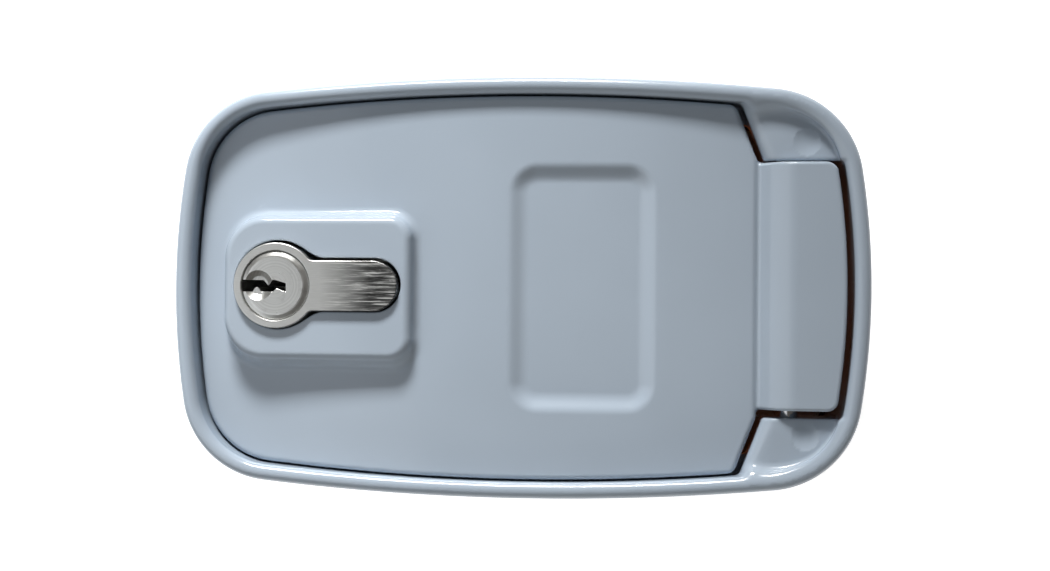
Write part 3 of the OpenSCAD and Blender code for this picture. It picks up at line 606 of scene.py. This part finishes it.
class Finish:
    """A node material built up from small steps, all in the object's own coordinates."""

    def __init__(self, name):
        self.material = bpy.data.materials.new(name)
        self.material.use_nodes = True
        self.tree = self.material.node_tree
        self.shader = self.tree.nodes["Principled BSDF"]
        self.place = self.add("ShaderNodeTexCoord").outputs["Object"]

    def add(self, kind, **settings):
        node = self.tree.nodes.new(kind)
        for key, value in settings.items():
            setattr(node, key, value)
        return node

    def link(self, source, target):
        self.tree.links.new(source, target)

    def stretched(self, scale):
        mapping = self.add("ShaderNodeMapping")
        mapping.inputs["Scale"].default_value = scale
        self.link(self.place, mapping.inputs["Vector"])
        return mapping.outputs["Vector"]

    def noise(self, size_mm, detail=3.0, rough=0.55, stretch=(1, 1, 1)):
        """Noise whose features are about size_mm across."""
        node = self.add("ShaderNodeTexNoise")
        node.inputs["Scale"].default_value = 1.0
        node.inputs["Detail"].default_value = detail
        node.inputs["Roughness"].default_value = rough
        factor = 1 / (size_mm * MM)
        self.link(self.stretched([factor * s for s in stretch]), node.inputs["Vector"])
        return node.outputs["Fac"]

    def ramp(self, source, stops):
        """Colours that follow the source's value."""
        node = self.add("ShaderNodeValToRGB")
        elements = node.color_ramp.elements
        while len(elements) < len(stops):
            elements.new(0.5)
        for element, (position, colour) in zip(elements, stops):
            element.position = position
            element.color = (*colour, 1)
        self.link(source, node.inputs["Fac"])
        return node.outputs["Color"]

    def span(self, source, low, high, start=0.3, end=0.7):
        """low to high while the source goes from start to end."""
        node = self.add("ShaderNodeMapRange")
        ends = {"From Min": start, "From Max": end, "To Min": low, "To Max": high}
        for key, value in ends.items():
            node.inputs[key].default_value = value
        self.link(source, node.inputs["Value"])
        return node.outputs["Result"]

    def feed(self, socket, value):
        """A number, a colour or another node's output into a socket."""
        if isinstance(value, (int, float)):
            socket.default_value = value
        elif isinstance(value, tuple):
            socket.default_value = (*value, 1)
        else:
            self.link(value, socket)

    def mix(self, factor, a, b):
        """Colour a, going over to b as the factor grows."""
        node = self.add("ShaderNodeMix", data_type="RGBA")
        colour_a, colour_b, result = node.inputs[6], node.inputs[7], node.outputs[2]
        self.feed(node.inputs["Factor"], factor)
        self.feed(colour_a, a)
        self.feed(colour_b, b)
        return result

    def masked(self, a, b):
        """The product of two values."""
        node = self.add("ShaderNodeMath", operation="MULTIPLY")
        self.link(a, node.inputs[0])
        self.link(b, node.inputs[1])
        return node.outputs[0]

    def bump(self, source, distance_mm, strength=1.0, below=None):
        """A normal with relief from the source, on top of another normal if one is given."""
        node = self.add("ShaderNodeBump")
        node.inputs["Strength"].default_value = strength
        node.inputs["Distance"].default_value = distance_mm * MM
        self.link(source, node.inputs["Height"])
        if below is not None:
            self.link(below, node.inputs["Normal"])
        return node.outputs["Normal"]

    def set(self, **values):
        """Fills the shader's inputs and returns the material."""
        for key, value in values.items():
            self.feed(self.shader.inputs[key.replace("_", " ")], value)
        return self.material


def srgb(r, g, b):
    """A display colour, 0 to 255, as linear light."""
    def linear(c):
        c /= 255
        return c / 12.92 if c <= 0.04045 else ((c + 0.055) / 1.055) ** 2.4
    return (linear(r), linear(g), linear(b))


def scaled(colour, factor):
    return tuple(min(1.0, c * factor) for c in colour)


def edge_mask(finish, start=0.52, end=0.62):
    """1 on the sharper convex edges, broken up by noise."""
    node = finish.add("ShaderNodeNewGeometry")
    worn = finish.span(node.outputs["Pointiness"], 0, 1, start, end)
    patch = finish.span(finish.noise(2.5, 4), 0, 1, 0.5, 0.75)
    return finish.masked(worn, patch)


def gloss_paint(name, colour):
    """Gloss enamel on a casting, with a faint orange peel and uneven film."""
    f = Finish(name)
    drift = f.ramp(f.noise(45, 2), [(0.3, scaled(colour, 0.955)), (0.7, scaled(colour, 1.03))])
    speck = f.span(f.noise(0.6, 3), 0, 0.12, 0.62, 0.8)
    base = f.mix(speck, drift, scaled(colour, 0.82))
    scuff = f.span(f.noise(2.2, 5), 0, 0.5, 0.5, 0.75)
    base = f.mix(f.masked(edge_mask(f, 0.53, 0.6), scuff), base, scaled(colour, 1.2))
    normal = f.bump(f.noise(3.2, 2), 0.012, 1.0)
    rough = f.span(f.noise(30, 3), 0.15, 0.22)
    return f.set(Base_Color=base, Roughness=rough, Normal=normal, IOR=1.5,
                 Specular_IOR_Level=0.34, Coat_Weight=0.18, Coat_Roughness=0.05)


def brushed_metal(name, colour, stretch, rough, tint, depth):
    """Metal with fine brush lines along one direction."""
    f = Finish(name)
    coarse = f.noise(0.55, 3, 0.6, stretch)
    fine = f.noise(0.16, 2, 0.6, stretch)
    patch = f.noise(6, 3)
    lines = f.ramp(coarse, [(0.32, scaled(colour, tint)), (0.62, colour)])
    base = f.mix(f.span(patch, 0, 0.35), lines, scaled(colour, 0.9))
    base = f.mix(f.span(fine, 0, 0.25), base, scaled(colour, 1.12))
    return f.set(Base_Color=base, Metallic=1.0, Roughness=f.span(coarse, *rough),
                 Normal=f.bump(coarse, depth, 0.8, f.bump(fine, depth / 3, 0.8)))


def cast_metal(name, colour, rough, grain, depth):
    """Plain metal: mottled plating or a machined face."""
    f = Finish(name)
    cloud = f.ramp(f.noise(5, 4), [(0.3, scaled(colour, 0.84)), (0.7, scaled(colour, 1.05))])
    spots = f.span(f.noise(0.7, 3), 0, 0.35, 0.58, 0.75)
    base = f.mix(spots, cloud, scaled(colour, 0.62))
    base = f.mix(edge_mask(f), base, scaled(colour, 1.3))
    return f.set(Base_Color=base, Metallic=1.0, Roughness=f.span(f.noise(1.5, 4), *rough),
                 Normal=f.bump(f.noise(grain, 3), depth))


def moulded_plastic(name, colour, rough=(0.38, 0.52)):
    """Plastic with a fine moulded grain and paler, rubbed edges."""
    f = Finish(name)
    cloud = f.ramp(f.noise(9, 3), [(0.3, scaled(colour, 0.88)), (0.7, scaled(colour, 1.08))])
    worn = f.mix(edge_mask(f), cloud, scaled(colour, 1.45))
    return f.set(Base_Color=worn, Roughness=f.span(f.noise(3, 4), *rough),
                 Normal=f.bump(f.noise(0.25, 3), 0.008), IOR=1.46)


def soft_rubber(name):
    """Matt black rubber with a little dust on it."""
    f = Finish(name)
    cloud = f.ramp(f.noise(4, 4), [(0.3, (0.012, 0.012, 0.013)), (0.72, (0.03, 0.03, 0.031))])
    dust = f.mix(f.span(f.noise(0.6, 4), 0, 0.18, 0.55, 0.8), cloud, (0.16, 0.155, 0.145))
    return f.set(Base_Color=dust, Roughness=f.span(f.noise(2, 3), 0.62, 0.82),
                 Normal=f.bump(f.noise(0.3, 3), 0.02), IOR=1.5)


def glowing_phenolic_sheet(name):
    """Brown paper laminate: a faint crossed fibre, a satin face, and a glow in its own colour
    that is painted light.
    """
    f = Finish(name)
    along = f.noise(0.5, 4, 0.6, (0.12, 1, 1))
    across = f.noise(0.5, 4, 0.6, (1, 0.12, 1))
    fibre = f.mix(0.5, along, across)
    base = f.ramp(fibre, [(0.36, srgb(108, 58, 34)), (0.52, srgb(134, 76, 46)),
                          (0.66, srgb(154, 92, 58))])
    patch = f.mix(f.span(f.noise(14, 3), 0, 0.3), base, srgb(96, 50, 30))
    # The emission is painted light: the sheet glows brown so it shows up in the shade deep inside
    # the box.
    return f.set(Base_Color=patch, Roughness=f.span(f.noise(4, 4), 0.3, 0.46),
                 Normal=f.bump(fibre, 0.01), IOR=1.55, Emission_Color=patch,
                 Emission_Strength=0.3)


def sideways(finish, start_mm, end_mm):
    """0 to 1 along X, in the box's own frame."""
    split = finish.add("ShaderNodeSeparateXYZ")
    finish.link(finish.place, split.inputs["Vector"])
    return finish.span(split.outputs["X"], 0, 1, start_mm * MM, end_mm * MM)


def brushed_nickel():
    """Satin plate with dark and bright streaks along the bar that grow stronger towards the bar's
    end.
    """
    f = Finish("brushed_nickel_look")
    streak = f.noise(0.42, 4, 0.65, (0.05, 1, 1))
    fine = f.noise(0.15, 3, 0.6, (0.08, 1, 1))
    growth = sideways(f, LOCK_X + 9, LOCK_X + 19)
    dark = f.ramp(streak, [(0.44, scaled(NICKEL, 0.05)), (0.53, scaled(NICKEL, 0.3)),
                           (0.61, scaled(NICKEL, 1.25))])
    plain = f.mix(f.span(f.noise(3, 4), 0, 0.3), NICKEL, scaled(NICKEL, 0.85))
    base = f.mix(growth, plain, dark)
    base = f.mix(f.span(fine, 0, 0.2), base, scaled(NICKEL, 0.6))
    base = f.mix(edge_mask(f, 0.54, 0.6), base, scaled(NICKEL, 1.5))
    normal = f.bump(fine, 0.004, 0.7, f.bump(streak, 0.02, 0.6))
    return f.set(Base_Color=base, Metallic=0.92, Roughness=f.span(streak, 0.3, 0.46),
                 Normal=normal)


def turned_nickel():
    """Satin plate with faint turning rings about the lock's axis."""
    f = Finish("turned_nickel_look")
    split = f.add("ShaderNodeSeparateXYZ")
    f.link(f.place, split.inputs["Vector"])
    flat = f.add("ShaderNodeCombineXYZ")
    f.link(split.outputs["X"], flat.inputs["X"])
    f.link(split.outputs["Y"], flat.inputs["Y"])
    reach = f.add("ShaderNodeVectorMath", operation="DISTANCE")
    f.link(flat.outputs["Vector"], reach.inputs[0])
    reach.inputs[1].default_value = (LOCK_X * MM, 0, 0)
    rings = f.add("ShaderNodeTexNoise", noise_dimensions="1D")
    rings.inputs["Scale"].default_value = 1 / (0.3 * MM)
    rings.inputs["Detail"].default_value = 3
    f.link(reach.outputs["Value"], rings.inputs["W"])
    base = f.ramp(rings.outputs["Fac"], [(0.35, scaled(NICKEL, 0.86)), (0.65, NICKEL)])
    base = f.mix(f.span(f.noise(1.8, 5), 0, 0.35, 0.55, 0.7), base, scaled(NICKEL, 0.6))
    normal = f.bump(f.noise(0.3, 3), 0.004, 0.6, f.bump(rings.outputs["Fac"], 0.004, 0.6))
    return f.set(Base_Color=base, Metallic=0.92, Roughness=f.span(f.noise(2, 4), 0.26, 0.4),
                 Normal=normal)


PAINT = srgb(167, 180, 194)
NICKEL = srgb(206, 207, 205)
FINISHES = {
    "cast_paint": gloss_paint("cast_paint_look", PAINT),
    "nickel": cast_metal("nickel_look", NICKEL, (0.2, 0.34), 0.3, 0.004),
    "zinc_steel": cast_metal("zinc_steel_look", srgb(196, 198, 194), (0.26, 0.44), 0.45, 0.008),
    "bright_steel": brushed_metal("bright_steel_look", srgb(212, 213, 214), (1, 0.08, 1),
                                  (0.14, 0.26), 0.85, 0.002),
    "brass": cast_metal("brass_look", srgb(206, 170, 98), (0.22, 0.38), 0.4, 0.005),
    "rubber": soft_rubber("rubber_look"),
    "phenolic": glowing_phenolic_sheet("phenolic_painted_glow_look"),
    "black_plastic": moulded_plastic("black_plastic_look", (0.022, 0.022, 0.024)),
    "cream_plastic": moulded_plastic("cream_plastic_look", srgb(216, 208, 186), (0.42, 0.58)),
    "green_plastic": moulded_plastic("green_plastic_look", srgb(34, 116, 62), (0.26, 0.4)),
    "red_plastic": moulded_plastic("red_plastic_look", srgb(176, 34, 28), (0.26, 0.4)),
}


def dress_cad_nodes():
    """Each CAD node gets the finish of its slot in the record."""
    for part in frame["record"]["subparts"]:
        mesh = frame["nodes"][part["node"]].data
        mesh.materials.clear()
        mesh.materials.append(FINISHES[part["material_slot"]])


# ---- Pieces ----------------------------------------------------------------------------

# Spacings of the grids that the pieces are meshed on
COARSE = 0.8
PLAIN = 0.4
FINE = 0.13
MARGIN = 1.0


def build_housing():
    grid = (axis((-HALF_W - MARGIN, 0.5), (40.0, PLAIN), HALF_W + MARGIN),
            axis((-HALF_H - MARGIN, PLAIN), (-22.0, COARSE), (22.0, PLAIN), HALF_H + MARGIN),
            axis((FOOT_Z - MARGIN, PLAIN), (5.0, 1.8), (34.5, PLAIN), CREST_Z + MARGIN))
    cast_piece("painted_housing", housing_field, grid, FINISHES["cast_paint"], "box",
               "housing")


def build_door():
    inset = 2.5
    grid = (axis((-HALF_W + inset, PLAIN), HALF_W - 3.0),
            axis((-HALF_H + inset, PLAIN), HALF_H - inset),
            axis((33.0, COARSE), (37.8, 0.35), 49.9))
    cast_piece("painted_door", door_field, grid, FINISHES["cast_paint"], "door",
               "door")


def build_cylinder():
    margin = 0.3
    grid = (axis((LOCK_X - PROFILE_R - margin, 0.16), LOCK_X + BAR_END + margin),
            axis((-PROFILE_R - margin, 0.16), PROFILE_R + margin),
            axis((CYLINDER_REAR - 0.4, 0.5), (LOCK_FACE - 2.5, 0.14), LOCK_FACE + margin))
    cast_piece("brushed_cylinder", cylinder_body_field, grid, brushed_nickel(), "door",
               "cylinder_body")


def build_plug():
    reach, margin = PLUG_R + 0.25, 0.3
    grid = (axis((LOCK_X - reach, FINE), LOCK_X + reach), axis((-reach, FINE), reach),
            axis((plug_low[2] - margin, 0.25), (11.0, COARSE), (LOCK_FACE - 3, FINE),
                 PLUG_FACE + margin))
    cast_piece("turned_plug", plug_field, grid, turned_nickel(), "lock_plug", "plug")


SPRING_WIRE_R = 0.45
SPRING_TURNS = 4


def coil_points(low, high, rings, sides):
    """Rings of points round a helical wire whose end turns lie closer together."""
    centre = (low + high) / 2
    along = np.linspace(0, 1, rings)[:, None]
    around = np.linspace(0, 2 * math.pi, sides, endpoint=False)[None, :]
    turn = 2 * math.pi * SPRING_TURNS * along
    r = (high[0] - low[0]) / 2 - SPRING_WIRE_R + SPRING_WIRE_R * np.cos(around)
    rise = along - 0.045 * np.sin(2 * math.pi * along)
    start, length = low[2] + SPRING_WIRE_R, high[2] - low[2] - 2 * SPRING_WIRE_R
    z = start + length * rise + SPRING_WIRE_R * np.sin(around)
    x, y = centre[0] + r * np.cos(turn), centre[1] + r * np.sin(turn)
    return np.stack([x, y, z], 2).reshape(-1, 3)


def build_spring(name, node):
    """A round-wire spring between bush and cap."""
    low, high = box_mm(node)
    rings, sides = 26 * SPRING_TURNS, 10
    last = (rings - 1) * sides
    faces = [tuple(range(sides))[::-1], tuple(range(last, last + sides))]
    for i in range(0, last, sides):
        for k, after in zip(range(sides), list(range(1, sides)) + [0]):
            faces.append((i + k, i + after, i + sides + after, i + sides + k))
    mesh = bpy.data.meshes.new(name)
    points = coil_points(low, high, rings, sides)
    mesh.from_pydata((points * MM).tolist(), [], faces)
    mesh.polygons.foreach_set("use_smooth", np.ones(len(faces), bool))
    spring = place_piece(name, mesh, FINISHES["bright_steel"], "box", node)
    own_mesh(spring)


def ease_edges():
    """Small rounded edges on the parts that keep their CAD shape."""
    for name, node in frame["nodes"].items():
        if node.hide_render:  # a built piece stands for it
            continue
        weld = node.modifiers.new("weld", "WELD")
        weld.merge_threshold = 0.002 * MM
        bevel = node.modifiers.new("bevel", "BEVEL")
        bevel.width = 0.16 * MM
        bevel.segments = 2
        bevel.limit_method = "ANGLE"
        bevel.angle_limit = math.radians(38)
        bevel.harden_normals = True


# ---- Stage -----------------------------------------------------------------------------

CAMERA_AT = Vector((39.25, -2.83, 369.15)) * MM
CAMERA_AIM = Vector((1.56, 0.40, 43.6)) * MM
CAMERA_ROLL = 0.0085
SENSOR_MM = 36
LENS_MM = 56.5714


def place_camera():
    """The photo's view: nearly straight down on the door, with the box's top upwards."""
    data = bpy.data.cameras.new("camera")
    data.sensor_width = SENSOR_MM
    data.lens = LENS_MM
    data.clip_start = 0.01
    camera = bpy.data.objects.new("camera", data)
    forward = (CAMERA_AIM - CAMERA_AT).normalized()
    right = forward.cross(Vector((0, 1, 0))).normalized()
    up = right.cross(forward)
    turned = right * math.cos(CAMERA_ROLL) + up * math.sin(CAMERA_ROLL)
    up = up * math.cos(CAMERA_ROLL) - right * math.sin(CAMERA_ROLL)
    basis = Matrix((turned, up, -forward)).transposed().to_4x4()
    camera.matrix_world = Matrix.Translation(CAMERA_AT) @ basis
    bpy.context.scene.collection.objects.link(camera)
    bpy.context.scene.camera = camera


# Places and sizes of the lights, in metres
KEY = dict(at=(-0.12, 0.62, 0.33), aim=(-0.06, 0, 0.045), size=(0.24, 0.13), power=0.42,
           colour=(1, 0.985, 0.96))
KEY_SPREAD = math.radians(36)
LEFT_FILL = dict(at=(-0.32, -0.1, 0.4), aim=(0, 0, 0.045), size=(0.5, 0.5), power=0.78,
                 colour=(0.94, 0.97, 1))
WARM_BOUNCE = dict(at=(0.08, -0.6, 0.15), aim=(0, 0, 0.045), size=(0.5, 0.12), power=0.75,
                   colour=(1, 0.9, 0.76))
WORLD_COLOUR = (1, 0.93, 0.86, 1)
WORLD_STRENGTH = 0.11


def area_light(name, at, aim, size, power, colour):
    data = bpy.data.lights.new(name, "AREA")
    data.shape = "RECTANGLE"
    data.size, data.size_y = size
    data.energy = power
    data.color = colour
    light = bpy.data.objects.new(name, data)
    light.location = at
    light.rotation_euler = (Vector(aim) - Vector(at)).to_track_quat("-Z", "Y").to_euler()
    bpy.context.scene.collection.objects.link(light)
    return light


def light_stage():
    """A key from beyond the box's top, a cool fill at the left and a warm bounce below."""
    area_light("key", **KEY).data.spread = KEY_SPREAD
    area_light("left_fill", **LEFT_FILL)
    area_light("warm_bounce", **WARM_BOUNCE).visible_glossy = False
    world = bpy.data.worlds.new("studio")
    world.use_nodes = True
    background = world.node_tree.nodes["Background"]
    background.inputs["Color"].default_value = WORLD_COLOUR
    background.inputs["Strength"].default_value = WORLD_STRENGTH
    bpy.context.scene.world = world


def lay_floor():
    """A plain pale floor, just clear of the box's back."""
    mesh = bpy.data.meshes.new("floor")
    reach = 3.0  # metres
    below = -0.25 * MM
    corners = [(-reach, -reach, below), (reach, -reach, below), (reach, reach, below),
               (-reach, reach, below)]
    mesh.from_pydata(corners, [], [(0, 1, 2, 3)])
    f = Finish("floor_look")
    tone = f.ramp(f.noise(400, 2), [(0.3, (0.86, 0.86, 0.86)), (0.7, (0.9, 0.9, 0.9))])
    mesh.materials.append(f.set(Base_Color=tone, Roughness=0.7, Emission_Color=(1, 1, 1),
                                Emission_Strength=0.8))
    floor = bpy.data.objects.new("floor", mesh)
    bpy.context.scene.collection.objects.link(floor)


bpy.context.scene.view_settings.view_transform = "Standard"
place_camera()
dress_cad_nodes()
build_housing()
build_door()
build_cylinder()
build_plug()
build_spring("coil_spring_up", "up_spring")
build_spring("coil_spring_down", "down_spring")
ease_edges()
light_stage()
lay_floor()
